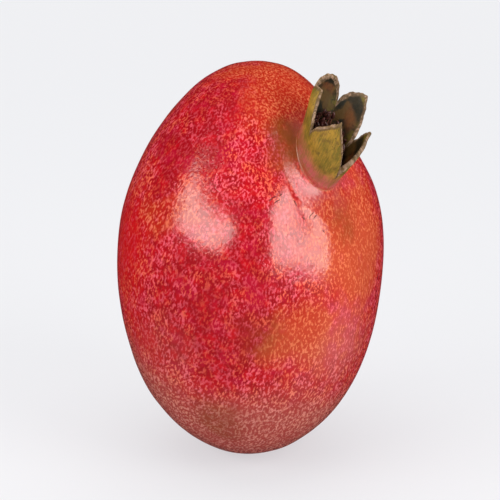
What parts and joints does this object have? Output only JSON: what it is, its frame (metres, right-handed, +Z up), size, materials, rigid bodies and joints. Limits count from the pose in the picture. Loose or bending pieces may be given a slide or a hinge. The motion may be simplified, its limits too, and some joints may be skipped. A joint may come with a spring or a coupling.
{
  "type": "pomegranate",
  "caption": "Whole pomegranate lying on a small flat spot, crown of dried sepals and stamens leaning to the front right, cut stem end low at the back.",
  "frame": {"origin": "middle of the small flat spot that the fruit lies on", "axes": "+Z up from the flat spot, +X to the right and +Y away, as seen from the front; the crown leans to +X and -Y"},
  "size_m": [0.0762, 0.092, 0.117],
  "materials": {
    "rind": "gloss",
    "stamens": "matte",
    "stem": "matte"
  },
  "bodies": {
    "root": {"fruit": "rind", "stamens": "stamens", "stem_stub": "stem"}
  },
  "joints": []
}
